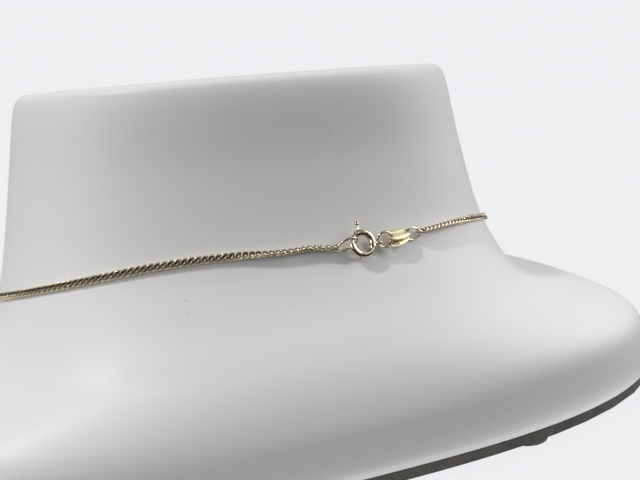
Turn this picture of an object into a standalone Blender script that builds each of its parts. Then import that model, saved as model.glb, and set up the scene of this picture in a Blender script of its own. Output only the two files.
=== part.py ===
"""A fine gold curb necklace, fastened at the nape with a spring ring, on a low white neck bust.

The bust's back faces +Y, its left and right shoulders lie along X and it stands on z = 0.
A place on the bust is an angle round the neck and a height. The angle is 0 at the nape and
grows toward -X, the side where the loose end of the chain leaves the clasp.
"""
import math

import bmesh
import bpy
import numpy as np
from mathutils import Matrix, Vector

# Bust, in metres
BUST_HEIGHT = 0.0767
NAPE_RISE = 0.0419          # from the bust's underside to its slimmest back line
NAPE_HALF_WIDTH = 0.0588
NAPE_BACK = 0.0462          # neck axis to nape
NAPE_FRONT = 0.0485         # neck axis to throat
SHOULDER_HALF_WIDTH = 0.1035
SHOULDER_BACK = 0.0618
CHEST_FRONT = 0.1194
BUST_SIDES = 64
RINGS_PER_SECTION = 2

# Board and feet under the bust
SEAT_GAP = 0.0003
BOARD_THICKNESS = 0.0021
FOOT_HEIGHT = 0.0019
FOOT_RADIUS = 0.0050
FOOT_SIDES = 24
FOOT_PLACES = [(-40, 0.070), (40, 0.070), (-142, 0.095), (142, 0.095)]    # degrees, metres from axis

# Chain
CHAIN_WIDTH = 0.0016
CHAIN_POINTS = 80
CHAIN_CLEARANCE = 0.0003    # chain to bust
END_LINK_WIRE = 0.00044
END_LINK_HALF_LENGTH = 0.00062
END_LINK_HALF_WIDTH = 0.00055

# Spring ring clasp
CLASP_RADIUS = 0.00228      # to the middle of its tube
CLASP_TUBE = 0.00144
CLASP_WALL = 0.00020
CLASP_GAP = (124.0, 179.0)  # degrees from the ring that holds the tags
BOLT_CLEARANCE = 0.00010
BOLT_OVERLAP = 13.0         # degrees that the bolt reaches into the far end
BOLT_TRAVEL = 70.0          # degrees
KNOB_ANGLE = 101.0
KNOB_REACH = 0.00420
KNOB_RADIUS = 0.00050
STEM_DIAMETER = 0.00046
CLASP_EYE_REACH = 0.00366
CLASP_EYE_RADIUS = 0.00070
CLASP_EYE_WIRE = 0.00046

# Jump rings, to the middle of their wire
RING_SIDES = 24
CATCH_RING = (0.00220, 0.00130)
CATCH_RING_WIRE = 0.00046
LINK_RING = (0.00166, 0.00160)
LINK_RING_WIRE = 0.00050
TAG_RING = (0.00200, 0.00125)
TAG_RING_WIRE = 0.00048

# Tags
TAG_LENGTH = 0.0066
TAG_WIDTH = 0.0029
TAG_THICKNESS = 0.0003
TAG_SQUARENESS = 2.4
TAG_HOLE_RADIUS = 0.00062
TAG_HOLE_INSET = 0.00085    # from the tag's end to the hole's middle

# Sections of the bust from its underside to its top, as shares:
# height of the bust, then half width, back and front from the nape's (0) to the shoulders' (1),
# then how square the back half and the front half are (2 is an ellipse)
SECTIONS = [
    (0.0000, 0.960, 1.045, 0.955, 2.90, 2.10),
    (0.0150, 0.975, 1.012, 0.975, 2.85, 2.10),
    (0.0400, 1.000, 0.996, 1.000, 2.75, 2.10),
    (0.0750, 0.992, 0.990, 0.985, 2.70, 2.10),
    (0.1300, 0.930, 0.984, 0.930, 2.70, 2.10),
    (0.1760, 0.800, 0.950, 0.810, 2.75, 2.00),
    (0.2243, 0.580, 0.886, 0.640, 2.70, 1.90),
    (0.2750, 0.345, 0.780, 0.440, 2.60, 1.90),
    (0.3220, 0.172, 0.640, 0.289, 2.52, 1.90),
    (0.4329, 0.056, 0.263, 0.081, 2.40, 2.00),
    (0.5463, 0.000, 0.000, 0.000, 2.25, 2.10),
    (0.7653, -0.083, -0.186, -0.054, 2.20, 2.10),
    (0.9778, -0.168, -0.231, -0.087, 2.20, 2.10),
    (1.0000, -0.204, -0.333, -0.109, 2.20, 2.10),
]

# Route of the chain from the clasp's bolt round to the tags: angle in degrees, rise above the nape
CHAIN_ROUTE = [
    (8.35, -0.0003), (3.0, 0.0003), (-4.0, 0.0003), (-15.0, 0.0008), (-24.0, 0.0008),
    (-35.0, 0.0001), (-44.5, -0.0012), (-56.0, -0.0032), (-75.0, -0.0072), (-95.0, -0.0118),
    (-120.0, -0.0176), (-150.0, -0.0253), (-180.0, -0.0281), (-210.0, -0.0253),
    (-240.0, -0.0172), (-265.0, -0.0108), (-285.0, -0.0052), (-299.0, -0.0023),
    (-310.5, -0.0008), (-319.0, -0.0004), (-327.0, -0.0004),
]

# How each small piece lies on the nape: angle, up and out from the clasp's line in metres,
# then spin in its own plane, turn about the upright and roll about the chain, in degrees
CLASP_PLACE = (15.40, -0.00026, 0.00173, -7.0, 0.8, -2.9)
CATCH_RING_PLACE = (11.62, 0.00014, 0.00142, 23.8, 1.8, 47.8)
LINK_RING_PLACE = (21.24, -0.00029, 0.00192, -1.0, -2.6, 22.6)
UPPER_TAG_PLACE = (25.66, 0.00029, 0.00158, 3.6, 10.3, -36.0)
LOWER_TAG_PLACE = (25.26, -0.00086, 0.00115, 9.0, 4.4, -32.5)
TAG_RING_PLACE = (30.08, -0.00033, 0.00087, -5.7, -2.6, 23.7)
FIRST_LINK_PLACE = (9.12, -0.00011, 0.00118, 0.0, 0.0, -30.0)
LAST_LINK_PLACE = (32.24, -0.00022, 0.00105, 0.0, -0.7, -74.7)

BOARD_TOP = FOOT_HEIGHT + SEAT_GAP + BOARD_THICKNESS
BUST_BASE = BOARD_TOP + SEAT_GAP
NAPE_HEIGHT = BUST_BASE + NAPE_RISE
CLASP_HEIGHT = NAPE_HEIGHT - 0.0002
BOLT_RADIUS = CLASP_TUBE / 2 - CLASP_WALL - BOLT_CLEARANCE


def clear_scene():
    for item in list(bpy.data.objects):
        bpy.data.objects.remove(item, do_unlink=True)


def new_collection(name):
    group = bpy.data.collections.new(name)
    bpy.context.scene.collection.children.link(group)
    return group


def new_material(name, colour, roughness, metallic):
    paint = bpy.data.materials.new(name)
    paint.use_nodes = True
    shader = paint.node_tree.nodes["Principled BSDF"]
    shader.inputs["Base Color"].default_value = (*colour, 1.0)
    shader.inputs["Roughness"].default_value = roughness
    shader.inputs["Metallic"].default_value = metallic
    return paint


def new_object(name, data, paint, group, matrix=None):
    item = bpy.data.objects.new(name, data)
    group.objects.link(item)
    if paint:
        data.materials.append(paint)
    if matrix:
        item.matrix_world = matrix
    return item


def bust_sections():
    """The sections in metres, with extra ones between them on a smooth curve."""
    rows = np.array(SECTIONS)
    rows[:, 0] = BUST_BASE + rows[:, 0] * BUST_HEIGHT
    rows[:, 1] = NAPE_HALF_WIDTH + rows[:, 1] * (SHOULDER_HALF_WIDTH - NAPE_HALF_WIDTH)
    rows[:, 2] = NAPE_BACK + rows[:, 2] * (SHOULDER_BACK - NAPE_BACK)
    rows[:, 3] = NAPE_FRONT + rows[:, 3] * (CHEST_FRONT - NAPE_FRONT)
    ends = np.vstack([2 * rows[0] - rows[1], rows, 2 * rows[-1] - rows[-2]])
    knots = np.concatenate([[0], np.cumsum(np.linalg.norm(np.diff(ends[:, :4], axis=0), axis=1) ** 0.5)])
    smooth = []
    for i in range(1, len(ends) - 2):
        span = knots[i + 1] - knots[i]
        slope = [
            (ends[k + 1] - ends[k]) / (knots[k + 1] - knots[k])
            + (ends[k] - ends[k - 1]) / (knots[k] - knots[k - 1])
            - (ends[k + 1] - ends[k - 1]) / (knots[k + 1] - knots[k - 1])
            for k in (i, i + 1)
        ]
        for step in range(RINGS_PER_SECTION):
            t = step / RINGS_PER_SECTION
            smooth.append(
                (2 * t**3 - 3 * t**2 + 1) * ends[i] + (t**3 - 2 * t**2 + t) * span * slope[0]
                + (3 * t**2 - 2 * t**3) * ends[i + 1] + (t**3 - t**2) * span * slope[1]
            )
    smooth.append(rows[-1])
    return np.array(smooth)


BUST = bust_sections()
NECK_Y = (BUST[:, 3].max() - BUST[:, 2].max()) / 2


def bust_point(angle, height):
    """The point of the bust's surface at an angle in degrees and a height in metres."""
    half, back, front, back_power, front_power = (
        np.interp(height, BUST[:, 0], BUST[:, column]) for column in range(1, 6)
    )
    sideways = math.sin(math.radians(angle))
    backward = math.cos(math.radians(angle))
    reach, power = (back, back_power) if backward > 0 else (front, front_power)
    radius = (abs(sideways / half) ** power + abs(backward / reach) ** power) ** (-1 / power)
    return Vector((-radius * sideways, NECK_Y + radius * backward, height))


def bust_axes(angle, height):
    """Unit vectors along the chain, up the bust and out of it."""
    along = (bust_point(angle + 0.5, height) - bust_point(angle - 0.5, height)).normalized()
    rise = bust_point(angle, height + 0.0006) - bust_point(angle, height - 0.0006)
    up = (rise - along * rise.dot(along)).normalized()
    return along, up, along.cross(up)


def place_on_nape(angle, up_shift, out_shift, spin, turn, roll):
    along, up, out = bust_axes(angle, CLASP_HEIGHT)
    point = bust_point(angle, CLASP_HEIGHT) + up * up_shift + out * out_shift
    axes = Matrix((along, up, out)).transposed()
    tilt = (
        Matrix.Rotation(math.radians(turn), 3, "Y")
        @ Matrix.Rotation(math.radians(roll), 3, "X")
        @ Matrix.Rotation(math.radians(spin), 3, "Z")
    )
    return Matrix.Translation(point) @ (axes @ tilt).to_4x4()


def loft_bust(name, paint, group):
    mesh = bmesh.new()
    angles = [360 * side / BUST_SIDES for side in range(BUST_SIDES)]
    rings = [[mesh.verts.new(bust_point(angle, height)) for angle in angles] for height in BUST[:, 0]]
    for lower, upper in zip(rings, rings[1:]):
        for side in range(BUST_SIDES):
            after = (side + 1) % BUST_SIDES
            mesh.faces.new((lower[side], lower[after], upper[after], upper[side]))
    mesh.faces.new(reversed(rings[0]))
    mesh.faces.new(rings[-1])
    bmesh.ops.recalc_face_normals(mesh, faces=mesh.faces)
    data = bpy.data.meshes.new(name)
    mesh.to_mesh(data)
    mesh.free()
    data.shade_smooth()
    data.set_sharp_from_angle(angle=math.radians(50))
    return new_object(name, data, paint, group)


def flat_plate(name, outlines, thickness, paint, group, matrix):
    """A plate with the first outline as its edge and the others as holes."""
    curve = bpy.data.curves.new(name, "CURVE")
    curve.dimensions = "2D"
    curve.fill_mode = "BOTH"
    curve.extrude = thickness / 2
    for outline in outlines:
        spline = curve.splines.new("POLY")
        spline.points.add(len(outline) - 1)
        for point, (x, y) in zip(spline.points, outline):
            point.co = (x, y, 0, 1)
        spline.use_cyclic_u = True
    return new_object(name, curve, paint, group, matrix)


def wire(name, points, diameter, closed, sides, paint, group, matrix=None):
    """A round wire through the points; sides is 6, 8 or 12."""
    curve = bpy.data.curves.new(name, "CURVE")
    curve.dimensions = "3D"
    curve.bevel_depth = diameter / 2
    curve.bevel_resolution = sides // 2 - 2
    curve.use_fill_caps = not closed
    spline = curve.splines.new("POLY")
    spline.points.add(len(points) - 1)
    for point, place in zip(spline.points, points):
        point.co = (*place, 1)
    spline.use_cyclic_u = closed
    return new_object(name, curve, paint, group, matrix)


def oval(half_length, half_width, count, middle=(0, 0), power=2.0):
    points = []
    for step in range(count):
        turn = 2 * math.pi * step / count
        x = math.copysign(abs(math.cos(turn)) ** (2 / power), math.cos(turn))
        y = math.copysign(abs(math.sin(turn)) ** (2 / power), math.sin(turn))
        points.append((middle[0] + half_length * x, middle[1] + half_width * y))
    return points


def arc(radius, start, end, count):
    angles = [math.radians(start + (end - start) * step / (count - 1)) for step in range(count)]
    return [(radius * math.cos(angle), radius * math.sin(angle), 0) for angle in angles]


def as_mesh(curve_object, group):
    """The object again as a mesh with welded caps, ready to be cut or joined."""
    evaluated = curve_object.evaluated_get(bpy.context.evaluated_depsgraph_get())
    data = bpy.data.meshes.new_from_object(evaluated)
    welder = bmesh.new()
    welder.from_mesh(data)
    bmesh.ops.remove_doubles(welder, verts=welder.verts, dist=0.000001)
    bmesh.ops.recalc_face_normals(welder, faces=welder.faces)
    welder.to_mesh(data)
    welder.free()
    name = curve_object.name
    matrix = curve_object.matrix_world.copy()
    bpy.data.objects.remove(curve_object, do_unlink=True)
    item = bpy.data.objects.new(name, data)
    item.matrix_world = matrix
    group.objects.link(item)
    return item


def combine(item, tool, operation):
    """Join the tool to the item, or cut it away, and hide the tool."""
    tool.hide_render = True
    tool.display_type = "WIRE"
    step = item.modifiers.new(tool.name, "BOOLEAN")
    step.operation = operation
    step.object = tool


def carry(parent, item):
    item.parent = parent


def make_feet(paint, group):
    for number, (angle, reach) in enumerate(FOOT_PLACES, 1):
        mesh = bmesh.new()
        bmesh.ops.create_cone(
            mesh, cap_ends=True, segments=FOOT_SIDES,
            radius1=FOOT_RADIUS, radius2=FOOT_RADIUS, depth=FOOT_HEIGHT,
        )
        data = bpy.data.meshes.new(f"foot_{number}")
        mesh.to_mesh(data)
        mesh.free()
        x = -reach * math.sin(math.radians(angle))
        y = NECK_Y + reach * math.cos(math.radians(angle))
        new_object(f"foot_{number}", data, paint, group, Matrix.Translation((x, y, FOOT_HEIGHT / 2)))


def make_board(paint, group):
    """The board follows the bust's underside."""
    edge = [bust_point(360 * side / BUST_SIDES, BUST_BASE) for side in range(BUST_SIDES)]
    outline = [(point.x, point.y) for point in edge]
    middle = Matrix.Translation((0, 0, BOARD_TOP - BOARD_THICKNESS / 2))
    flat_plate("base_board", [outline], BOARD_THICKNESS, paint, group, middle)


def chain_points():
    """Points at even steps along the smooth curve through the route, clear of the bust."""
    stand_off = CHAIN_WIDTH / 2 + CHAIN_CLEARANCE
    chosen = []
    for angle, rise in CHAIN_ROUTE:
        height = NAPE_HEIGHT + rise
        chosen.append((math.radians(angle), height))
    chosen = np.array(chosen)
    knots = chosen[:, 0]
    slopes = np.gradient(chosen[:, 1], knots)
    fine = []
    for angle in np.linspace(knots[0], knots[-1], 1200):
        k = min(max(len(knots) - 1 - int(np.searchsorted(knots[::-1], angle, side="left")), 0), len(knots) - 2)
        span = knots[k + 1] - knots[k]
        t = (angle - knots[k]) / span
        height = (
            (2 * t**3 - 3 * t**2 + 1) * chosen[k, 1] + (t**3 - 2 * t**2 + t) * span * slopes[k]
            + (3 * t**2 - 2 * t**3) * chosen[k + 1, 1] + (t**3 - t**2) * span * slopes[k + 1]
        )
        out = bust_axes(math.degrees(angle), height)[2]
        fine.append(bust_point(math.degrees(angle), height) + out * stand_off)
    fine = np.array(fine)
    lengths = np.concatenate([[0], np.cumsum(np.linalg.norm(np.diff(fine, axis=0), axis=1))])
    stations = np.linspace(0, lengths[-1], CHAIN_POINTS)
    return [[np.interp(s, lengths, fine[:, axis]) for axis in range(3)] for s in stations]


def make_chain(paint, group, tools):
    chain = as_mesh(wire("curb_chain", chain_points(), CHAIN_WIDTH, False, 8, paint, group), group)
    for name, place in (("first_link", FIRST_LINK_PLACE), ("last_link", LAST_LINK_PLACE)):
        loop = [(x, y, 0) for x, y in oval(END_LINK_HALF_LENGTH, END_LINK_HALF_WIDTH, 14)]
        eye = wire(name, loop, END_LINK_WIRE, True, 6, paint, tools, place_on_nape(*place))
        combine(chain, as_mesh(eye, tools), "UNION")


def make_clasp(paint, group, tools):
    """The hollow ring, its fixed eye, and the bolt that slides round inside it."""
    centre = bpy.data.objects.new("clasp_axis", None)
    group.objects.link(centre)
    centre.matrix_world = place_on_nape(*CLASP_PLACE)
    gap_start, gap_end = CLASP_GAP
    bore_radius = BOLT_RADIUS + BOLT_CLEARANCE
    bolt_tail = KNOB_ANGLE - 5

    tube = arc(CLASP_RADIUS, gap_end, gap_start + 360, 34)
    body = as_mesh(wire("clasp_body", tube, CLASP_TUBE, False, 12, paint, group), group)
    reach = arc(CLASP_RADIUS, bolt_tail - BOLT_TRAVEL - 4, gap_end + BOLT_OVERLAP + 4, 24)
    bore = as_mesh(wire("clasp_bore", reach, 2 * bore_radius, False, 12, paint, tools), tools)
    combine(body, bore, "DIFFERENCE")

    stem_room = STEM_DIAMETER / 2 + BOLT_CLEARANCE
    margin = math.degrees(stem_room / CLASP_RADIUS) + 2
    slot_angles = (KNOB_ANGLE - BOLT_TRAVEL - margin, KNOB_ANGLE + margin)
    outer = arc(CLASP_RADIUS + CLASP_TUBE, *slot_angles, 16)
    inner = arc(CLASP_RADIUS, *reversed(slot_angles), 16)
    sector = [(x, y) for x, y, _ in outer + inner]
    slot = as_mesh(flat_plate("clasp_slot", [sector], 2 * stem_room, None, tools, None), tools)
    combine(body, slot, "DIFFERENCE")

    loop = [(x, 0, y) for x, y in oval(CLASP_EYE_RADIUS, CLASP_EYE_RADIUS, 14, (CLASP_EYE_REACH, 0))]
    eye = as_mesh(wire("clasp_eye", loop, CLASP_EYE_WIRE, True, 6, paint, tools), tools)
    combine(body, eye, "UNION")

    sweep = arc(CLASP_RADIUS, bolt_tail, gap_end + BOLT_OVERLAP, 16)
    bolt = as_mesh(wire("clasp_bolt", sweep, 2 * BOLT_RADIUS, False, 12, paint, group), group)
    direction = Vector((math.cos(math.radians(KNOB_ANGLE)), math.sin(math.radians(KNOB_ANGLE)), 0))
    ends = [direction * CLASP_RADIUS, direction * KNOB_REACH]
    stem = as_mesh(wire("knob_stem", ends, STEM_DIAMETER, False, 8, paint, tools), tools)
    combine(bolt, stem, "UNION")
    ball = bmesh.new()
    bmesh.ops.create_uvsphere(ball, u_segments=12, v_segments=8, radius=KNOB_RADIUS)
    data = bpy.data.meshes.new("knob_ball")
    ball.to_mesh(data)
    ball.free()
    knob = new_object("knob_ball", data, paint, tools, Matrix.Translation(direction * KNOB_REACH))
    combine(bolt, knob, "UNION")
    for item in (body, bore, slot, eye, bolt, stem, knob):
        carry(centre, item)


def make_rings(paint, group):
    rings = [
        ("catch_ring", CATCH_RING, CATCH_RING_WIRE, CATCH_RING_PLACE),
        ("link_ring", LINK_RING, LINK_RING_WIRE, LINK_RING_PLACE),
        ("tag_ring", TAG_RING, TAG_RING_WIRE, TAG_RING_PLACE),
    ]
    for name, (half_length, half_width), diameter, place in rings:
        loop = [(x, y, 0) for x, y in oval(half_length, half_width, RING_SIDES)]
        wire(name, loop, diameter, True, 6, paint, group, place_on_nape(*place))


def make_tags(paint, group):
    edge = oval(TAG_LENGTH / 2, TAG_WIDTH / 2, 32, power=TAG_SQUARENESS)
    hole_x = TAG_LENGTH / 2 - TAG_HOLE_INSET
    holes = [oval(TAG_HOLE_RADIUS, TAG_HOLE_RADIUS, 14, (side * hole_x, 0)) for side in (-1, 1)]
    for name, place in (("tag_upper", UPPER_TAG_PLACE), ("tag_lower", LOWER_TAG_PLACE)):
        flat_plate(name, [edge, *holes], TAG_THICKNESS, paint, group, place_on_nape(*place))


def main():
    clear_scene()
    parts = new_collection("necklace_on_neck_bust")
    tools = new_collection("cutters_and_joined_shapes")
    white = new_material("bust_white", (0.78, 0.78, 0.79), 0.30, 0.0)
    taupe = new_material("board_taupe", (0.16, 0.145, 0.13), 0.90, 0.0)
    rubber = new_material("foot_rubber", (0.20, 0.20, 0.20), 0.70, 0.0)
    gold = new_material("gold", (0.83, 0.62, 0.30), 0.22, 1.0)
    pale_gold = new_material("tag_gold", (0.88, 0.76, 0.45), 0.30, 1.0)
    loft_bust("neck_bust", white, parts)
    make_board(taupe, parts)
    make_feet(rubber, parts)
    make_chain(gold, parts, tools)
    make_clasp(gold, parts, tools)
    make_rings(gold, parts)
    make_tags(pale_gold, parts)


main()
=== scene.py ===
"""The looks of a fine gold curb necklace, closed with a spring ring, on a glossy white neck bust."""
import math

import bmesh
import bpy
import numpy as np
from mathutils import Matrix, Vector


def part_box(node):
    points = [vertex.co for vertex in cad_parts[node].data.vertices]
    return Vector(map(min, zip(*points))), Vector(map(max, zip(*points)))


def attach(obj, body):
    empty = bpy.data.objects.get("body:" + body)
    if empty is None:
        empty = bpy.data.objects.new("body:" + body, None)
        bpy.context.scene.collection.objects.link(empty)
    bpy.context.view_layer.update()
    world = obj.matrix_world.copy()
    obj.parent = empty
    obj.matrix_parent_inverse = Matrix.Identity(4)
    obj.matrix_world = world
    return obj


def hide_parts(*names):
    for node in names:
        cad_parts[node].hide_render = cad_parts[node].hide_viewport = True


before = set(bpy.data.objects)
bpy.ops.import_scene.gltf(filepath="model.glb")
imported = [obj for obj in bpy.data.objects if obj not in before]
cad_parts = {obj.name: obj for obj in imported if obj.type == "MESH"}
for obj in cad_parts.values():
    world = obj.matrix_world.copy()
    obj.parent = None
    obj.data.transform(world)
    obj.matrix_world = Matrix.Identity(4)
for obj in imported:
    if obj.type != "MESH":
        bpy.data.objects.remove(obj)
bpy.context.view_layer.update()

# The camera stands about 13 cm behind the nape, a little to the left and slightly tilted.
# A program fitted its values to the outline of the bust in the photograph; they are rounded.
PICTURE_WIDTH = 640
FOCAL_PIXELS = 708.6
SENSOR_WIDTH = 36.0
CAMERA_PLACE = Vector((0.0362, 0.20632, 0.0772))
CAMERA_AZIMUTH = math.radians(162.91)
CAMERA_ELEVATION = math.radians(11.84)
CAMERA_ROLL = math.radians(4.72)

scene = bpy.context.scene
scene.view_settings.view_transform = "Standard"
camera_data = bpy.data.cameras.new("camera")
camera_data.sensor_width = SENSOR_WIDTH
camera_data.lens = FOCAL_PIXELS / PICTURE_WIDTH * SENSOR_WIDTH
camera_data.clip_start = 0.01
camera = bpy.data.objects.new("camera", camera_data)
scene.collection.objects.link(camera)
backward = Vector((
    math.sin(CAMERA_AZIMUTH) * math.cos(CAMERA_ELEVATION),
    -math.cos(CAMERA_AZIMUTH) * math.cos(CAMERA_ELEVATION),
    math.sin(CAMERA_ELEVATION),
))
level = (-backward).cross(Vector((0, 0, 1))).normalized()
raised = backward.cross(level)
right = level * math.cos(CAMERA_ROLL) - raised * math.sin(CAMERA_ROLL)
upward = level * math.sin(CAMERA_ROLL) + raised * math.cos(CAMERA_ROLL)
axes = Matrix((right, upward, backward)).transposed().to_4x4()
camera.matrix_world = Matrix.Translation(CAMERA_PLACE) @ axes
scene.camera = camera


class Value:
    """A shader socket that sums can be written with; each operation adds its Math node."""

    def __init__(self, shader, socket):
        self.shader = shader
        self.socket = socket

    def math(self, operation, *others):
        values = dict(enumerate((self, *others)))
        return self.shader.add("ShaderNodeMath", {"operation": operation}, values)

    def __add__(self, other):
        return self.math("ADD", other)

    def __radd__(self, other):
        return self.math("ADD", other)

    def __sub__(self, other):
        return self.math("SUBTRACT", other)

    def __rsub__(self, other):
        return self.shader.add("ShaderNodeMath", {"operation": "SUBTRACT"}, {0: other, 1: self})

    def __mul__(self, other):
        return self.math("MULTIPLY", other)

    def __rmul__(self, other):
        return self.math("MULTIPLY", other)

    def __truediv__(self, other):
        return self.math("DIVIDE", other)

    def __rtruediv__(self, other):
        return self.shader.add("ShaderNodeMath", {"operation": "DIVIDE"}, {0: other, 1: self})

    def clamped(self):
        return self.math("MAXIMUM", 0.0).math("MINIMUM", 1.0)

    def step(self, start, end):
        """0 at start and 1 at end, with a smooth change between them."""
        limits = {0: self, 1: start, 2: end, 3: 0.0, 4: 1.0}
        return self.shader.add("ShaderNodeMapRange", {"interpolation_type": "SMOOTHSTEP"}, limits)


class Shader:
    """A node tree of a material or of the world, filled node by node."""

    def __init__(self, owner):
        owner.use_nodes = True
        self.tree = owner.node_tree
        self.tree.nodes.clear()

    def add(self, kind, settings=None, inputs=None, output=0):
        node = self.tree.nodes.new(kind)
        for name, setting in (settings or {}).items():
            setattr(node, name, setting)
        for name, value in (inputs or {}).items():
            if isinstance(value, Value):
                self.tree.links.new(value.socket, node.inputs[name])
            else:
                node.inputs[name].default_value = value
        return Value(self, node.outputs[output]) if node.outputs else node

    def place(self):
        return self.add("ShaderNodeTexCoord", output="Object")

    def noise(self, scale, detail=3.0, roughness=0.5, vector=None):
        inputs = {"Vector": vector or self.place(), "Scale": scale, "Detail": detail, "Roughness": roughness}
        return self.add("ShaderNodeTexNoise", inputs=inputs)

    def mix(self, amount, first, second):
        settings = {"data_type": "RGBA"}
        return self.add("ShaderNodeMix", settings, {"Factor": amount, 6: first, 7: second}, output=2)

    def bump(self, height, distance, strength=1.0):
        inputs = {"Height": height, "Distance": distance, "Strength": strength}
        return self.add("ShaderNodeBump", inputs=inputs)

    def surface(self, **inputs):
        names = {name.replace("_", " "): value for name, value in inputs.items()}
        skin = self.add("ShaderNodeBsdfPrincipled", inputs=names)
        self.add("ShaderNodeOutputMaterial", inputs={"Surface": skin})


# The room is a white photo tent, open and dark on the camera's side. A strong lamp high on the
# left draws the shadows, a second one softens them, and soft boxes fill in from both sides.
BACKDROP = (0.852, 0.860, 0.880)
BOX_SOFTNESS = 12.0
# azimuth and elevation in degrees, and strength
SOFT_BOXES = [
    (16, 5, 3.90),
    (168, 19, 4.10),
    (-165, -1, 0.60),
    (-90, 45, 1.91),
    (-160, 30, 0.60),
    (116, 36, 0.45),
]
DOME = 0.010
# azimuth, elevation and width in degrees, and strength
LAMPS = [
    (14, 54, 4, 1.26),
    (42, 66, 7, 0.16),
]


def toward(azimuth, elevation):
    level = math.cos(math.radians(elevation))
    azimuth = math.radians(azimuth)
    return Vector((level * math.cos(azimuth), level * math.sin(azimuth), math.sin(math.radians(elevation))))


def hang_lamp(name, back, width, strength):
    """A far lamp that shines from one direction and looks as wide as its angle in degrees."""
    lamp = bpy.data.lights.new(name, "SUN")
    lamp.energy = strength
    lamp.angle = math.radians(width)
    item = bpy.data.objects.new(name, lamp)
    item.rotation_euler = back.to_track_quat("Z", "Y").to_euler()
    scene.collection.objects.link(item)


world = bpy.data.worlds.new("tent")
scene.world = world
tent = Shader(world)
direction = tent.add("ShaderNodeTexCoord", output="Generated")
light = DOME
for azimuth, elevation, strength in SOFT_BOXES:
    heading = toward(azimuth, elevation)
    facing = tent.add(
        "ShaderNodeVectorMath", {"operation": "DOT_PRODUCT"}, {0: direction, 1: heading}, output="Value"
    )
    light = ((facing - 1.0) * BOX_SOFTNESS).math("EXPONENT") * strength + light
glow = tent.add("ShaderNodeBackground", inputs={"Color": (1.0, 1.0, 1.0, 1.0), "Strength": light})
seen = tent.add("ShaderNodeBackground", inputs={"Color": (*BACKDROP, 1.0), "Strength": 1.0})
through_lens = tent.add("ShaderNodeLightPath", output="Is Camera Ray")
either = tent.add("ShaderNodeMixShader", inputs={0: through_lens, 1: glow, 2: seen})
tent.add("ShaderNodeOutputWorld", inputs={"Surface": either})

for azimuth, elevation, width, strength in LAMPS:
    hang_lamp(f"lamp_{elevation}", toward(azimuth, elevation), width, strength)

# The table is a sheet of the same pale paper, so bright that the bust hardly darkens it.
FLOOR_REACH = 3.0
PAPER_GLOW = 0.02
PAPER_SEEN = 0.97
bpy.ops.mesh.primitive_circle_add(vertices=96, radius=FLOOR_REACH, fill_type="NGON")
floor = bpy.context.object
floor.name = "table"
floor_paint = bpy.data.materials.new("pale_paper")
paper = Shader(floor_paint)
lit = paper.add("ShaderNodeBsdfDiffuse", inputs={"Color": (0.03, 0.03, 0.03, 1.0)})
given_off = paper.add("ShaderNodeEmission", inputs={"Color": (*BACKDROP, 1.0), "Strength": PAPER_GLOW})
by_light = paper.add("ShaderNodeAddShader", inputs={0: lit, 1: given_off})
to_eye = paper.add("ShaderNodeEmission", inputs={"Color": (*BACKDROP, 1.0), "Strength": PAPER_SEEN})
shade = paper.add("ShaderNodeAddShader", inputs={0: lit, 1: to_eye})
paper_seen = paper.add("ShaderNodeLightPath", output="Is Camera Ray")
both = paper.add("ShaderNodeMixShader", inputs={0: paper_seen, 1: by_light, 2: shade})
paper.add("ShaderNodeOutputMaterial", inputs={"Surface": both})
floor.data.materials.append(floor_paint)

# The bust is moulded in white plastic in one piece: a slim neck with a flat top, shoulders and
# a short chest. Its sections are the same as those of the solid it stands for.
BUST_LOW, BUST_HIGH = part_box("neck_bust")
BUST_BASE = BUST_LOW[2]
BUST_HEIGHT = BUST_HIGH[2] - BUST_LOW[2]
NAPE_RISE = 0.0419
NAPE_HALF_WIDTH = 0.0588
NAPE_BACK = 0.0462
NAPE_FRONT = 0.0485
SHOULDER_HALF_WIDTH = 0.1035
SHOULDER_BACK = 0.0618
CHEST_FRONT = 0.1194
BUST_SIDES = 288
RINGS_PER_SECTION = 9
# height, then half width, back and front from the nape's to the shoulders', then squareness;
# programs fitted the rows to the photograph, and the lower nine were then changed
SECTIONS = [
    (0.0000, 0.960, 1.045, 0.955, 2.90, 2.10),
    (0.0150, 0.975, 1.012, 0.975, 2.85, 2.10),
    (0.0400, 1.000, 0.996, 1.000, 2.75, 2.10),
    (0.0750, 0.992, 0.990, 0.985, 2.70, 2.10),
    (0.1300, 0.930, 0.984, 0.930, 2.70, 2.10),
    (0.1760, 0.800, 0.950, 0.810, 2.75, 2.00),
    (0.2243, 0.580, 0.886, 0.640, 2.70, 1.90),
    (0.2750, 0.345, 0.780, 0.440, 2.60, 1.90),
    (0.3220, 0.172, 0.640, 0.289, 2.52, 1.90),
    (0.4329, 0.056, 0.263, 0.081, 2.40, 2.00),
    (0.5463, 0.000, 0.000, 0.000, 2.25, 2.10),
    (0.7653, -0.083, -0.186, -0.054, 2.20, 2.10),
    (0.9778, -0.168, -0.231, -0.087, 2.20, 2.10),
    (1.0000, -0.204, -0.333, -0.109, 2.20, 2.10),
]


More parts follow.
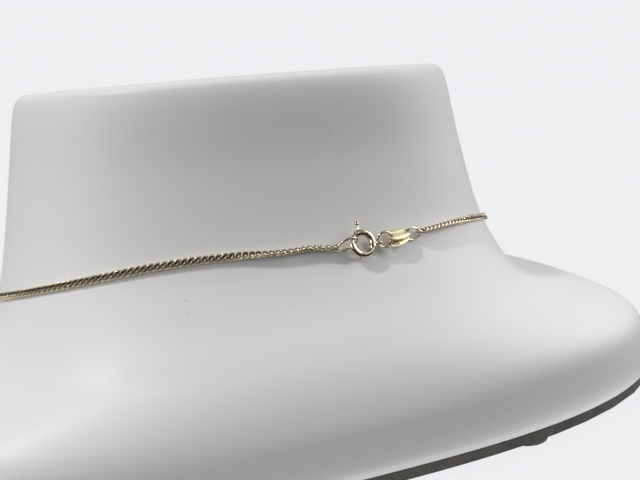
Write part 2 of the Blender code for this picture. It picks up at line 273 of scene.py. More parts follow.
def bust_sections():
    """The sections in metres, with others between them on a smooth curve."""
    rows = np.array(SECTIONS)
    rows[:, 0] = BUST_BASE + rows[:, 0] * BUST_HEIGHT
    rows[:, 1] = NAPE_HALF_WIDTH + rows[:, 1] * (SHOULDER_HALF_WIDTH - NAPE_HALF_WIDTH)
    rows[:, 2] = NAPE_BACK + rows[:, 2] * (SHOULDER_BACK - NAPE_BACK)
    rows[:, 3] = NAPE_FRONT + rows[:, 3] * (CHEST_FRONT - NAPE_FRONT)
    ends = np.vstack([2 * rows[0] - rows[1], rows, 2 * rows[-1] - rows[-2]])
    gaps = np.linalg.norm(np.diff(ends[:, :4], axis=0), axis=1) ** 0.5
    knots = np.concatenate([[0], np.cumsum(gaps)])
    smooth = []
    for i in range(1, len(ends) - 2):
        span = knots[i + 1] - knots[i]
        slope = [
            (ends[k + 1] - ends[k]) / (knots[k + 1] - knots[k])
            + (ends[k] - ends[k - 1]) / (knots[k] - knots[k - 1])
            - (ends[k + 1] - ends[k - 1]) / (knots[k + 1] - knots[k - 1])
            for k in (i, i + 1)
        ]
        for step in range(RINGS_PER_SECTION):
            t = step / RINGS_PER_SECTION
            smooth.append(
                (2 * t**3 - 3 * t**2 + 1) * ends[i] + (t**3 - 2 * t**2 + t) * span * slope[0]
                + (3 * t**2 - 2 * t**3) * ends[i + 1] + (t**3 - t**2) * span * slope[1]
            )
    smooth.append(rows[-1])
    return np.array(smooth)


BUST = bust_sections()
NECK_Y = (BUST[:, 3].max() - BUST[:, 2].max()) / 2


def bust_point(angle, height):
    """The surface at an angle round the neck, 0 at the nape and growing toward -X, and a height."""
    half, back, front, back_power, front_power = (
        np.interp(height, BUST[:, 0], BUST[:, column]) for column in range(1, 6)
    )
    sideways = math.sin(math.radians(angle))
    backward = math.cos(math.radians(angle))
    reach, power = (back, back_power) if backward > 0 else (front, front_power)
    radius = (abs(sideways / half) ** power + abs(backward / reach) ** power) ** (-1 / power)
    return Vector((-radius * sideways, NECK_Y + radius * backward, height))


def new_piece(name, mesh, paint, body="necklace_on_bust", stands_for=(), crease=40):
    """A finished mesh as a piece of the object; edges that turn more than the crease stay sharp."""
    data = mesh
    if isinstance(mesh, bmesh.types.BMesh):
        data = bpy.data.meshes.new(name)
        mesh.to_mesh(data)
        mesh.free()
    item = bpy.data.objects.new(name, data)
    scene.collection.objects.link(item)
    data.materials.clear()
    data.materials.append(paint)
    data.shade_smooth()
    data.set_sharp_from_angle(angle=math.radians(crease))
    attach(item, body)
    if stands_for:
        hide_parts(*stands_for)
    return item


def glossy_white():
    """Smooth white plastic, faintly clouded, with dust specks and fine wear."""
    paint = bpy.data.materials.new("glossy_white")
    shader = Shader(paint)
    cloud = shader.noise(38.0, 2.0)
    dust = shader.noise(1400.0, 1.0)
    speck = dust.step(0.74, 0.78) * shader.noise(60.0, 2.0).step(0.52, 0.62)
    white = shader.mix(cloud, (0.805, 0.80, 0.792, 1.0), (0.835, 0.83, 0.825, 1.0))
    colour = shader.mix(speck * 0.5, white, (0.40, 0.38, 0.36, 1.0))
    wear = shader.noise(240.0, 4.0, 0.6)
    shader.surface(
        Base_Color=colour, Roughness=0.46 + wear * 0.12, Specular_IOR_Level=0.5,
        Coat_Weight=0.10, Coat_Roughness=0.30, Normal=shader.bump(wear, 0.00002, 0.4),
    )
    return paint


def loft_bust():
    mesh = bmesh.new()
    angles = [360 * side / BUST_SIDES for side in range(BUST_SIDES)]
    rings = [[mesh.verts.new(bust_point(angle, height)) for angle in angles] for height in BUST[:, 0]]
    for lower, upper in zip(rings, rings[1:]):
        for side in range(BUST_SIDES):
            after = (side + 1) % BUST_SIDES
            mesh.faces.new((lower[side], lower[after], upper[after], upper[side]))
    mesh.faces.new(reversed(rings[0]))
    mesh.faces.new(rings[-1])
    bmesh.ops.recalc_face_normals(mesh, faces=mesh.faces)
    return mesh


new_piece("moulded_bust", loft_bust(), glossy_white(), stands_for=["neck_bust"])


# The board under the bust is fibreboard covered in taupe felt. It keeps its solid's shape.
def taupe_felt():
    paint = bpy.data.materials.new("taupe_felt")
    shader = Shader(paint)
    fibre = shader.noise(2600.0, 5.0, 0.7)
    blotch = shader.noise(220.0, 3.0)
    shade = (fibre * 0.7 + blotch * 0.3).step(0.25, 0.75)
    colour = shader.mix(shade, (0.085, 0.078, 0.070, 1.0), (0.22, 0.205, 0.19, 1.0))
    shader.surface(Base_Color=colour, Roughness=0.95, Sheen_Weight=0.15, Normal=shader.bump(fibre, 0.00015))
    return paint


def paint_node(node, paint):
    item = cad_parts[node]
    if not item.data.materials:
        item.data.materials.append(paint)
    for slot in item.material_slots:
        slot.material = paint


paint_node("base_board", taupe_felt())


# Four soft rubber feet are stuck under the board.
def grey_rubber():
    paint = bpy.data.materials.new("grey_rubber")
    shader = Shader(paint)
    grain = shader.noise(1800.0, 4.0, 0.6)
    colour = shader.mix(grain, (0.26, 0.26, 0.26, 1.0), (0.36, 0.36, 0.37, 1.0))
    shader.surface(Base_Color=colour, Roughness=0.6 + grain * 0.2, Normal=shader.bump(grain, 0.00005))
    return paint


rubber = grey_rubber()
for node in ("foot_1", "foot_2", "foot_3", "foot_4"):
    paint_node(node, rubber)


# The chain is a flat curb chain: oval wire links, each twisted so that it nests in the next,
# then filed flat on both faces. It lies on the bust, flat or on its edge as it turns.
LINK_PITCH = 0.00130
LINK_HALF_LENGTH = 0.00094
LINK_HALF_WIDTH = 0.00060
LINK_TWIST = -0.00029
LINK_WIRE = 0.00058
LINK_FACE = 0.00050
LINK_CORNERS = 16
LINK_WIRE_SIDES = 6
# squares of the reach across a link at which its painted shade starts and is full
HOLLOW_START = 1.40
HOLLOW_FULL = 0.85
ROUTE_STEPS = 1600
CHAIN_REST = 0.00003
# Angle round the neck, rise above the nape
CHAIN_ROUTE = [
    (8.35, -0.0003), (3.0, 0.0003), (-4.0, 0.0003), (-15.0, 0.0008), (-24.0, 0.0008),
    (-35.0, 0.0001), (-44.5, -0.0012), (-56.0, -0.0032), (-75.0, -0.0072), (-95.0, -0.0118),
    (-120.0, -0.0176), (-150.0, -0.0253), (-180.0, -0.0281), (-210.0, -0.0253),
    (-240.0, -0.0172), (-265.0, -0.0108), (-285.0, -0.0052), (-299.0, -0.0023),
    (-310.5, -0.0008), (-319.0, -0.0004), (-327.0, -0.0004),
]
# Angle round the neck, turn of the links from flat, in degrees, and lift of the ends in metres
CHAIN_TURNS = [
    (8.35, 70, 0.00030), (5.0, 72, 0.0), (-2.0, 70, 0.0), (-9.0, 60, 0.0), (-14.0, 25, 0.0),
    (-19.0, 0, 0.0), (-60.0, -5, 0.0), (-120.0, 6, 0.0), (-180.0, 0, 0.0), (-240.0, -6, 0.0),
    (-295.0, 0, 0.0), (-308.0, 15, 0.0), (-316.0, 55, 0.0), (-322.0, 70, 0.0), (-327.0, 70, 0.00030),
]
NAPE_HEIGHT = BUST_BASE + NAPE_RISE


def bust_axes(angle, height):
    """Unit vectors along the chain, up the bust and out of it, from points close by."""
    aside, above = 0.5, 0.0006
    along = (bust_point(angle + aside, height) - bust_point(angle - aside, height)).normalized()
    rise = bust_point(angle, height + above) - bust_point(angle, height - above)
    up = (rise - along * rise.dot(along)).normalized()
    return along, up, along.cross(up)


def through_points(knots, values, at):
    """Values at any place on the smooth curve through those at the knots."""
    slopes = np.gradient(values, knots)
    k = np.clip(np.searchsorted(knots, at) - 1, 0, len(knots) - 2)
    span = knots[k + 1] - knots[k]
    t = (at - knots[k]) / span
    return (
        (2 * t**3 - 3 * t**2 + 1) * values[k] + (t**3 - 2 * t**2 + t) * span * slopes[k]
        + (3 * t**2 - 2 * t**3) * values[k + 1] + (t**3 - t**2) * span * slopes[k + 1]
    )


def lay_chain():
    """The place, heading and facing of each link, from the clasp round to the tags."""
    route = -np.array([angle for angle, _ in CHAIN_ROUTE])
    rises = np.array([rise for _, rise in CHAIN_ROUTE])
    turn_at, turns, lifts = (np.array(column) for column in zip(*CHAIN_TURNS))
    at = np.linspace(route[0], route[-1], ROUTE_STEPS)
    heights = NAPE_HEIGHT + through_points(route, rises, at)
    turn = np.radians(np.interp(at, -turn_at, turns))
    lift = np.interp(at, -turn_at, lifts)
    thick = (LINK_FACE * np.cos(turn)) ** 2 + ((LINK_HALF_WIDTH + LINK_WIRE / 2) * np.sin(turn)) ** 2
    stand_off = np.sqrt(thick) + CHAIN_REST + lift
    points, outs = [], []
    for angle, height, off in zip(at, heights, stand_off):
        out = bust_axes(-angle, height)[2]
        points.append(bust_point(-angle, height) + out * off)
        outs.append(out)
    points = np.array(points)
    outs = np.array(outs)
    lengths = np.concatenate([[0], np.cumsum(np.linalg.norm(np.diff(points, axis=0), axis=1))])
    count = round(lengths[-1] / LINK_PITCH)
    stations = (np.arange(count) + 0.5) * lengths[-1] / count

    def along_route(at, values):
        return np.stack([np.interp(at, lengths, values[:, i]) for i in range(3)], axis=1)

    places = along_route(stations, points)
    headings = along_route(stations + LINK_PITCH / 2, points) - along_route(stations - LINK_PITCH / 2, points)
    headings /= np.linalg.norm(headings, axis=1)[:, None]
    facing = along_route(stations, outs)
    facing -= headings * (facing * headings).sum(axis=1)[:, None]
    facing /= np.linalg.norm(facing, axis=1)[:, None]
    turned = np.interp(stations, lengths, turn)[:, None]
    facing = facing * np.cos(turned) + np.cross(headings, facing) * np.sin(turned)
    return places, headings, facing


class Nodes:
    """A Geometry Nodes tree with named inputs, filled node by node."""

    def __init__(self, name, inputs):
        self.tree = bpy.data.node_groups.new(name, "GeometryNodeTree")
        self.tree.interface.new_socket("Geometry", in_out="INPUT", socket_type="NodeSocketGeometry")
        for label, kind in inputs:
            self.tree.interface.new_socket(label, in_out="INPUT", socket_type=kind)
        self.tree.interface.new_socket("Geometry", in_out="OUTPUT", socket_type="NodeSocketGeometry")
        self.given = self.tree.nodes.new("NodeGroupInput").outputs

    def add(self, kind, settings=None, inputs=None, output=0):
        node = self.tree.nodes.new(kind)
        for name, setting in (settings or {}).items():
            setattr(node, name, setting)
        for name, value in (inputs or {}).items():
            if isinstance(value, bpy.types.NodeSocket):
                self.tree.links.new(value, node.inputs[name])
            else:
                node.inputs[name].default_value = value
        return node.outputs[output] if node.outputs else None

    def times(self, first, second):
        return self.add("ShaderNodeMath", {"operation": "MULTIPLY"}, {0: first, 1: second})

    def run(self, item, values):
        """Give the inputs their values, and return the result as a plain mesh."""
        step = item.modifiers.new("grow", "NODES")
        step.node_group = self.tree
        for socket in self.tree.interface.items_tree:
            if socket.in_out == "INPUT" and socket.name in values:
                step[socket.identifier] = values[socket.name]
        graph = bpy.context.evaluated_depsgraph_get()
        grown = bpy.data.meshes.new_from_object(item.evaluated_get(graph))
        item.modifiers.remove(step)
        bpy.data.objects.remove(item, do_unlink=True)
        return grown


def curb_link_tree():
    """One twisted and filed link on every point, headed and faced as the point says."""
    tree = Nodes("curb_links", [
        ("Half length", "NodeSocketFloat"), ("Half width", "NodeSocketFloat"), ("Twist", "NodeSocketFloat"),
        ("Wire", "NodeSocketFloat"), ("Face", "NodeSocketFloat"), ("Paint", "NodeSocketMaterial"),
    ])
    given = tree.given
    ring = tree.add("GeometryNodeCurvePrimitiveCircle", inputs={"Resolution": LINK_CORNERS, "Radius": 1.0})
    place = tree.add("GeometryNodeInputPosition")
    split = tree.tree.nodes.new("ShaderNodeSeparateXYZ")
    tree.tree.links.new(place, split.inputs[0])
    x, y = split.outputs[0], split.outputs[1]
    twist = tree.times(tree.times(tree.times(x, y), 2.0), given["Twist"])
    oval = tree.add("ShaderNodeCombineXYZ", inputs={
        0: tree.times(x, given["Half length"]), 1: tree.times(y, given["Half width"]), 2: twist,
    })
    bent = tree.add("GeometryNodeSetPosition", inputs={"Geometry": ring, "Position": oval})
    round_wire = tree.add("GeometryNodeCurvePrimitiveCircle", inputs={
        "Resolution": LINK_WIRE_SIDES, "Radius": tree.times(given["Wire"], 0.5),
    })
    link = tree.add("GeometryNodeCurveToMesh", inputs={"Curve": bent, "Profile Curve": round_wire})
    skin = tree.add("GeometryNodeInputPosition")
    parts = tree.tree.nodes.new("ShaderNodeSeparateXYZ")
    tree.tree.links.new(skin, parts.inputs[0])
    low = tree.add("ShaderNodeMath", {"operation": "MINIMUM"}, {0: parts.outputs[2], 1: given["Face"]})
    filed = tree.add("ShaderNodeMath", {"operation": "MAXIMUM"}, {0: low, 1: tree.times(given["Face"], -1.0)})
    flat = tree.add("ShaderNodeCombineXYZ", inputs={0: parts.outputs[0], 1: parts.outputs[1], 2: filed})
    link = tree.add("GeometryNodeSetPosition", inputs={"Geometry": link, "Position": flat})
    far = tree.add("ShaderNodeMath", {"operation": "DIVIDE"}, {0: parts.outputs[0], 1: given["Half length"]})
    wide = tree.add("ShaderNodeMath", {"operation": "DIVIDE"}, {0: parts.outputs[1], 1: given["Half width"]})
    squares = {0: tree.times(far, far), 1: tree.times(wide, wide)}
    reach = tree.add("ShaderNodeMath", {"operation": "ADD"}, squares)
    # the inner side of each link, marked for the painted shade between the links
    limits = {0: reach, 1: HOLLOW_START, 2: HOLLOW_FULL, 3: 0.0, 4: 1.0}
    inner_shade = tree.add("ShaderNodeMapRange", inputs=limits)
    link = tree.add("GeometryNodeStoreNamedAttribute", {"data_type": "FLOAT", "domain": "POINT"}, {
        "Geometry": link, "Name": "hollow", "Value": inner_shade,
    })
    heading = tree.add("GeometryNodeInputNamedAttribute", {"data_type": "FLOAT_VECTOR"}, {"Name": "heading"})
    facing = tree.add("GeometryNodeInputNamedAttribute", {"data_type": "FLOAT_VECTOR"}, {"Name": "facing"})
    turn = tree.add("FunctionNodeAlignRotationToVector", {"axis": "X"}, {"Vector": heading})
    turn = tree.add("FunctionNodeAlignRotationToVector", {"axis": "Z", "pivot_axis": "X"}, {
        "Rotation": turn, "Vector": facing,
    })
    points = tree.add("GeometryNodeMeshToPoints", inputs={"Mesh": given["Geometry"]})
    links = tree.add("GeometryNodeInstanceOnPoints", inputs={
        "Points": points, "Instance": link, "Rotation": turn,
    })
    real = tree.add("GeometryNodeRealizeInstances", inputs={"Geometry": links})
    painted = tree.add("GeometryNodeSetMaterial", inputs={"Geometry": real, "Material": given["Paint"]})
    tree.add("NodeGroupOutput", inputs={0: painted})
    return tree


def yellow_gold(name, colour, dark, roughness, shaded_hollows=False):
    """Polished gold with fine scratches and random grime; with shaded hollows, painted shade darkens and
    dulls the insides of the links.
    """
    paint = bpy.data.materials.new(name)
    shader = Shader(paint)
    scratch = shader.noise(9000.0, 4.0, 0.65)
    grime_and_shade = shader.noise(1500.0, 3.0, 0.6).step(0.44, 0.70)
    metal = 1.0
    if shaded_hollows:
        # painted shade: the inner side of each link is painted dark and less metallic, in place of the shade
        # between the tight links
        inside = shader.add("ShaderNodeAttribute", {"attribute_name": "hollow"}, output="Fac")
        grime_and_shade = (grime_and_shade * 0.3 + inside * 1.2).clamped()
        metal = 1.0 - grime_and_shade * 0.9
    tone = shader.mix(grime_and_shade * 0.9, (*colour, 1.0), (*dark, 1.0))
    shader.surface(
        Base_Color=tone, Metallic=metal, Roughness=roughness + grime_and_shade * 0.10 + scratch * 0.06,
        Specular_IOR_Level=0.2, Normal=shader.bump(scratch, 0.00001, 0.3),
    )
    return paint


# the chain's dark colour is painted shade inside the links, mixed with a little random grime
chain_gold = yellow_gold("chain_gold", (0.93, 0.80, 0.57), (0.016, 0.008, 0.003), 0.08, shaded_hollows=True)
places, headings, facing = lay_chain()
dots = bpy.data.meshes.new("link_places")
dots.from_pydata([tuple(place) for place in places], [], [])
for label, rows in (("heading", headings), ("facing", facing)):
    dots.attributes.new(label, "FLOAT_VECTOR", "POINT").data.foreach_set("vector", rows.astype("f").ravel())
seeds = bpy.data.objects.new("link_places", dots)
scene.collection.objects.link(seeds)
links = curb_link_tree().run(seeds, {
    "Half length": LINK_HALF_LENGTH, "Half width": LINK_HALF_WIDTH, "Twist": LINK_TWIST,
    "Wire": LINK_WIRE, "Face": LINK_FACE, "Paint": chain_gold,
})
new_piece("curb_links", links, chain_gold, stands_for=["curb_chain"], crease=80)


# Each end of the chain has a plain, nearly round link that takes its jump ring.
# A program fitted how it and the other small pieces lie to the photograph; that is rounded.
END_LINK_WIRE = 0.00044
END_LINK_HALF_LENGTH = 0.00062
END_LINK_HALF_WIDTH = 0.00055
END_LINK_STEPS = 36
WIRE_SIDES = 14
CLASP_HEIGHT = NAPE_HEIGHT - 0.0002
# angle round the neck, up and out from the clasp's line, then spin, turn and roll in degrees
FIRST_LINK_PLACE = (9.12, -0.00011, 0.00118, 0.0, 0.0, -30.0)
LAST_LINK_PLACE = (32.24, -0.00022, 0.00105, 0.0, -0.7, -74.7)


def place_on_nape(angle, up_shift, out_shift, spin, turn, roll):
    along, up, out = bust_axes(angle, CLASP_HEIGHT)
    point = bust_point(angle, CLASP_HEIGHT) + up * up_shift + out * out_shift
    tilt = (
        Matrix.Rotation(math.radians(turn), 3, "Y")
        @ Matrix.Rotation(math.radians(roll), 3, "X")
        @ Matrix.Rotation(math.radians(spin), 3, "Z")
    )
    return Matrix.Translation(point) @ (Matrix((along, up, out)).transposed() @ tilt).to_4x4()


def swept_wire(mesh, points, radii, sides, closed):
    """Round wire through points, its radius given at each, added to the mesh."""
    points = np.array(points, float)
    count = len(points)
    ahead = np.roll(points, -1, axis=0) - points
    behind = points - np.roll(points, 1, axis=0)
    if not closed:
        ahead[-1] = behind[-1]
        behind[0] = ahead[0]
    headings = ahead / np.linalg.norm(ahead, axis=1)[:, None]
    headings = headings + behind / np.linalg.norm(behind, axis=1)[:, None]
    headings /= np.linalg.norm(headings, axis=1)[:, None]
    middle = points.mean(axis=0)
    plane = np.linalg.svd(points - middle)[2][2]
    rings = []
    for point, heading, radius in zip(points, headings, radii):
        side = np.cross(heading, plane)
        side /= np.linalg.norm(side)
        over = np.cross(side, heading)
        ring = []
        for step in range(sides):
            turn = 2 * math.pi * step / sides
            offset = side * math.cos(turn) + over * math.sin(turn)
            ring.append(mesh.verts.new(point + radius * offset))
        rings.append(ring)
    for k in range(count if closed else count - 1):
        first, second = rings[k], rings[(k + 1) % count]
        for step in range(sides):
            after = (step + 1) % sides
            mesh.faces.new((first[step], first[after], second[after], second[step]))
    if not closed:
        mesh.faces.new(reversed(rings[0]))
        mesh.faces.new(rings[-1])
    bmesh.ops.recalc_face_normals(mesh, faces=mesh.faces)
    return mesh


def oval_points(half_length, half_width, count):
    turns = np.radians(np.linspace(0, 360, count, endpoint=False))
    return np.stack([half_length * np.cos(turns), half_width * np.sin(turns), 0 * turns], axis=1)


gold = yellow_gold("clasp_gold", (0.90, 0.78, 0.60), (0.09, 0.045, 0.018), 0.07)
for name, place in (("first_link", FIRST_LINK_PLACE), ("last_link", LAST_LINK_PLACE)):
    loop = oval_points(END_LINK_HALF_LENGTH, END_LINK_HALF_WIDTH, END_LINK_STEPS)
    ring = swept_wire(bmesh.new(), loop, [END_LINK_WIRE / 2] * END_LINK_STEPS, WIRE_SIDES, True)
    ring.transform(place_on_nape(*place))
    new_piece(name, ring, gold)


# The jump rings are bent from round gold wire, and their ends are butted and soldered.
# half length, half width and wire, how the ring lies as above, and where its joint is in degrees
JUMP_RINGS = [
    ("catch_ring", 0.00220, 0.00130, 0.00046, (11.62, 0.00014, 0.00142, 23.8, 1.8, 47.8), 205.0),
    ("link_ring", 0.00166, 0.00160, 0.00050, (21.24, -0.00029, 0.00192, -1.0, -2.6, 22.6), 100.0),
    ("tag_ring", 0.00200, 0.00125, 0.00048, (30.08, -0.00033, 0.00087, -5.7, -2.6, 23.7), 80.0),
]
RING_STEPS = 120
SOLDER_WIDTH = 3.0
SOLDER_DIP = 0.10
for name, half_length, half_width, wire, place, joint in JUMP_RINGS:
    loop = oval_points(half_length, half_width, RING_STEPS)
    turns = np.linspace(0, 360, RING_STEPS, endpoint=False)
    away = np.abs((turns - joint + 180) % 360 - 180)
    radii = wire / 2 * (1 - SOLDER_DIP * np.exp(-(away / SOLDER_WIDTH) ** 2))
    ring = swept_wire(bmesh.new(), loop, radii, WIRE_SIDES, True)
    ring.transform(place_on_nape(*place))
    new_piece(f"{name}_wire", ring, gold, stands_for=[name])

# The spring ring is a drawn tube bent round, with a slot for the knob's stem, and a small wire
# eye soldered to its side. A bolt on a hidden spring closes its gap.
CLASP_PLACE = (15.40, -0.00026, 0.00173, -7.0, 0.8, -2.9)
CLASP_RADIUS = 0.00228
CLASP_TUBE = 0.00144
CLASP_WALL = 0.00020
CLASP_GAP = (124.0, 179.0)
BOLT_CLEARANCE = 0.00010
BOLT_OVERLAP = 13.0
BOLT_TRAVEL = 70.0
BOLT_TAIL = 5.0
BOLT_STEPS = 60
BORE_MARGIN = 4.0
SLOT_MARGIN = 2.0
KNOB_ANGLE = 101.0
KNOB_REACH = 0.00420
KNOB_RADIUS = 0.00050
STEM_DIAMETER = 0.00046
CLASP_EYE_REACH = 0.00366
CLASP_EYE_RADIUS = 0.00070
CLASP_EYE_WIRE = 0.00046
TUBE_SIDES = 28
BOLT_RADIUS = CLASP_TUBE / 2 - CLASP_WALL - BOLT_CLEARANCE
LIP_ANGLE = 5.0


def cutter(name, mesh):
    data = bpy.data.meshes.new(name)
    mesh.to_mesh(data)
    mesh.free()
    item = bpy.data.objects.new(name, data)
    scene.collection.objects.link(item)
    return item


def cut_and_joined(mesh, steps):
    """The mesh after each Boolean step in turn, as plain data; the tools are removed."""
    item = cutter("work", mesh)
    tools = []
    for operation, tool_mesh in steps:
        tool = cutter("tool", tool_mesh)
        step = item.modifiers.new("step", "BOOLEAN")
        step.operation = operation
        step.object = tool
        tools.append(tool)
    graph = bpy.context.evaluated_depsgraph_get()
    data = bpy.data.meshes.new_from_object(item.evaluated_get(graph))
    for tool in (item, *tools):
        bpy.data.objects.remove(tool, do_unlink=True)
    return data


def tube_radii(turns, radius, start, end):
    """Full radius along the tube, rounded down to about four fifths at both ends."""
    near = np.minimum(turns - start, end - turns) / LIP_ANGLE
    near = np.clip(near, 0, 1)
    return radius * (0.82 + 0.18 * np.sqrt(1 - (1 - near) ** 2))


def arc_points(radius, turns):
    radians = np.radians(turns)
    return np.stack([radius * np.cos(radians), radius * np.sin(radians), 0 * radians], axis=1)


def clasp_body_mesh():
    gap_start, gap_end = CLASP_GAP
    ends = np.linspace(0, LIP_ANGLE, 7)[:-1]
    start, end = gap_end, gap_start + 360
    between = np.linspace(start + LIP_ANGLE, end - LIP_ANGLE, 80)
    turns = np.concatenate([start + ends, between, end - ends[::-1]])
    radii = tube_radii(turns, CLASP_TUBE / 2, start, end)
    tube = swept_wire(bmesh.new(), arc_points(CLASP_RADIUS, turns), radii, TUBE_SIDES, False)
    bore_start = KNOB_ANGLE - BOLT_TAIL - BOLT_TRAVEL - BORE_MARGIN
    bore_end = gap_end + BOLT_OVERLAP + BORE_MARGIN
    path = arc_points(CLASP_RADIUS, np.linspace(bore_start, bore_end, BOLT_STEPS))
    radii = [BOLT_RADIUS + BOLT_CLEARANCE] * BOLT_STEPS
    bore = swept_wire(bmesh.new(), path, radii, TUBE_SIDES, False)
    room = STEM_DIAMETER / 2 + BOLT_CLEARANCE
    margin = math.degrees(room / CLASP_RADIUS) + SLOT_MARGIN
    outside = 1 + CLASP_TUBE / CLASP_RADIUS
    slot_turns = np.linspace(KNOB_ANGLE - BOLT_TRAVEL - margin, KNOB_ANGLE + margin, 40)
    slot = bmesh.new()
    rows = []
    for turn in np.radians(slot_turns):
        row = []
        for reach, level in ((1, -1), (outside, -1), (outside, 1), (1, 1)):
            reach *= CLASP_RADIUS
            row.append(slot.verts.new((reach * math.cos(turn), reach * math.sin(turn), level * room)))
        rows.append(row)
    for first, second in zip(rows, rows[1:]):
        for k in range(4):
            slot.faces.new((first[k], first[(k + 1) % 4], second[(k + 1) % 4], second[k]))
    slot.faces.new(reversed(rows[0]))
    slot.faces.new(rows[-1])
    bmesh.ops.recalc_face_normals(slot, faces=slot.faces)
    loop = oval_points(CLASP_EYE_RADIUS, CLASP_EYE_RADIUS, 40)[:, [0, 2, 1]]
    loop = loop + np.array([CLASP_EYE_REACH, 0, 0])
    eye = swept_wire(bmesh.new(), loop, [CLASP_EYE_WIRE / 2] * 40, WIRE_SIDES, True)
    return cut_and_joined(tube, [("DIFFERENCE", bore), ("DIFFERENCE", slot), ("UNION", eye)])


def clasp_bolt_mesh():
    turns = np.linspace(KNOB_ANGLE - BOLT_TAIL, CLASP_GAP[1] + BOLT_OVERLAP, BOLT_STEPS)
    path = arc_points(CLASP_RADIUS, turns)
    bolt = swept_wire(bmesh.new(), path, [BOLT_RADIUS] * BOLT_STEPS, TUBE_SIDES, False)
    heading = np.array([math.cos(math.radians(KNOB_ANGLE)), math.sin(math.radians(KNOB_ANGLE)), 0])
    reaches = np.linspace(CLASP_RADIUS, KNOB_REACH, 6)
    stem = swept_stem(reaches, heading)
    ball = bmesh.new()
    place = Matrix.Translation(heading * KNOB_REACH)
    bmesh.ops.create_uvsphere(ball, u_segments=28, v_segments=18, radius=KNOB_RADIUS, matrix=place)
    return cut_and_joined(bolt, [("UNION", stem), ("UNION", ball)])


def swept_stem(reaches, heading):
    mesh = bmesh.new()
    across = np.cross(heading, [0, 0, 1])
    rings = []
    for reach in reaches:
        ring = []
        for step in range(WIRE_SIDES):
            turn = 2 * math.pi * step / WIRE_SIDES
            offset = across * math.cos(turn) + np.array([0, 0, 1]) * math.sin(turn)
            ring.append(mesh.verts.new(heading * reach + offset * STEM_DIAMETER / 2))
        rings.append(ring)
    for first, second in zip(rings, rings[1:]):
        for step in range(WIRE_SIDES):
            after = (step + 1) % WIRE_SIDES
            mesh.faces.new((first[step], first[after], second[after], second[step]))
    mesh.faces.new(reversed(rings[0]))
    mesh.faces.new(rings[-1])
    bmesh.ops.recalc_face_normals(mesh, faces=mesh.faces)
    return mesh


clasp_centre = place_on_nape(*CLASP_PLACE)
for name, data, body in (
    ("clasp_body", clasp_body_mesh(), "necklace_on_bust"),
    ("clasp_bolt", clasp_bolt_mesh(), "trigger"),
):
    data.transform(clasp_centre)
    new_piece(f"{name}_gold", data, gold, body, [name])

# Two oval tags are stamped from thin sheet, with a hole at each end, and lie one over the other.
TAG_LENGTH = 0.0066
TAG_WIDTH = 0.0029
TAG_THICKNESS = 0.0003
TAG_SQUARENESS = 2.4
TAG_HOLE_RADIUS = 0.00062
TAG_HOLE_INSET = 0.00085
TAG_EDGE = 0.00006
TAGS = [
    ("tag_upper", (25.66, 0.00029, 0.00158, 3.6, 10.3, -36.0), False),
    ("tag_lower", (25.26, -0.00086, 0.00115, 9.0, 4.4, -32.5), True),
]


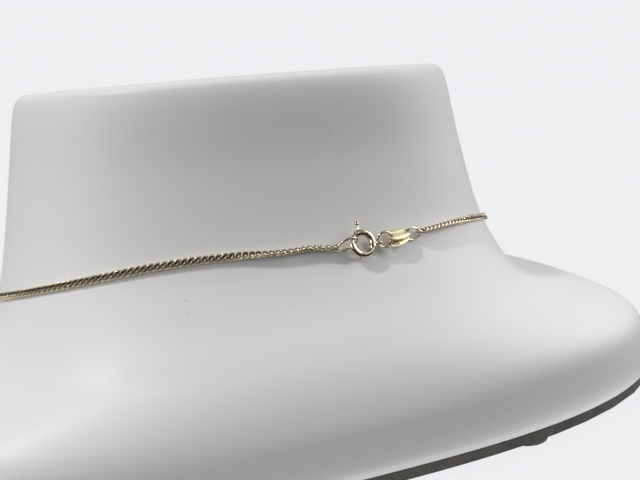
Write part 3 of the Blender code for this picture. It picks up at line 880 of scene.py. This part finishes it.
def tag_mesh():
    """A flat outline with two holes, given its thickness and a soft edge."""
    curve = bpy.data.curves.new("tag", "CURVE")
    curve.dimensions = "2D"
    curve.fill_mode = "BOTH"
    curve.extrude = TAG_THICKNESS / 2 - TAG_EDGE
    curve.bevel_depth = TAG_EDGE
    curve.bevel_resolution = 2
    turns = np.linspace(0, 2 * math.pi, 96, endpoint=False)
    power = 2 / TAG_SQUARENESS
    edge_x = (TAG_LENGTH / 2 - TAG_EDGE) * np.sign(np.cos(turns)) * np.abs(np.cos(turns)) ** power
    edge_y = (TAG_WIDTH / 2 - TAG_EDGE) * np.sign(np.sin(turns)) * np.abs(np.sin(turns)) ** power
    outlines = [np.stack([edge_x, edge_y], axis=1)]
    for side in (-1, 1):
        hole = oval_points(TAG_HOLE_RADIUS + TAG_EDGE, TAG_HOLE_RADIUS + TAG_EDGE, 40)[:, :2]
        outlines.append(hole + np.array([side * (TAG_LENGTH / 2 - TAG_HOLE_INSET), 0]))
    for outline in outlines:
        spline = curve.splines.new("POLY")
        spline.points.add(len(outline) - 1)
        for point, (x, y) in zip(spline.points, outline):
            point.co = (x, y, 0, 1)
        spline.use_cyclic_u = True
    item = bpy.data.objects.new("tag", curve)
    scene.collection.objects.link(item)
    graph = bpy.context.evaluated_depsgraph_get()
    data = bpy.data.meshes.new_from_object(item.evaluated_get(graph))
    bpy.data.objects.remove(item, do_unlink=True)
    mesh = bmesh.new()
    mesh.from_mesh(data)
    bmesh.ops.remove_doubles(mesh, verts=mesh.verts, dist=0.000001)
    bmesh.ops.recalc_face_normals(mesh, faces=mesh.faces)
    return mesh


def tag_gold(name, place, punched):
    """Pale gold sheet with a brushed face; one tag has a few plain punched dots, their pits painted nearly
    black as painted shade.
    """
    paint = bpy.data.materials.new(name)
    shader = Shader(paint)
    inverse = place.inverted()
    own = shader.add("ShaderNodeMapping", inputs={
        "Vector": shader.place(), "Location": inverse.translation, "Rotation": inverse.to_euler(),
    })
    streak = shader.noise(4000.0, 3.0, 0.6, own)
    colour = shader.mix(streak, (0.92, 0.83, 0.59, 1.0), (0.85, 0.74, 0.48, 1.0))
    height = streak * 0.2
    if punched:
        split = shader.add("ShaderNodeSeparateXYZ", inputs={"Vector": own})
        across = Value(shader, split.socket.node.outputs[1])
        dot = dot_pattern(shader, split, across)
        # painted shade: the punched pits are painted nearly black
        colour = shader.mix(dot, colour, (0.02, 0.012, 0.006, 1.0))
        height = height - dot
    shader.surface(
        Base_Color=colour, Metallic=1.0, Roughness=0.24 + streak * 0.12, Normal=shader.bump(height, 0.00004),
    )
    return paint


DOT_SPACING = 0.00052
DOT_RADIUS = 0.00022
DOTS_AT = (-0.0011, -0.00080)


def dot_pattern(shader, along, across):
    """Two short rows of round dots near the tag's edge."""
    along = along - DOTS_AT[0]
    across = across - DOTS_AT[1]
    column = (along / DOT_SPACING + 0.5).math("FRACT") - 0.5
    row = (across / DOT_SPACING + 1.0).math("FRACT") - 0.5
    reach = (column * column + row * row).math("SQRT") * DOT_SPACING
    inside = 1.0 - along.math("ABSOLUTE").step(DOT_SPACING * 1.4, DOT_SPACING * 1.6)
    inside = inside * (1.0 - across.math("ABSOLUTE").step(DOT_SPACING * 0.9, DOT_SPACING * 1.1))
    return (1.0 - reach.step(DOT_RADIUS * 0.7, DOT_RADIUS)) * inside


for name, place, punched in TAGS:
    matrix = place_on_nape(*place)
    plate = tag_mesh()
    plate.transform(matrix)
    gilt = tag_gold(f"{name}_gold", matrix, punched)
    new_piece(f"{name}_plate", plate, gilt, stands_for=[name])
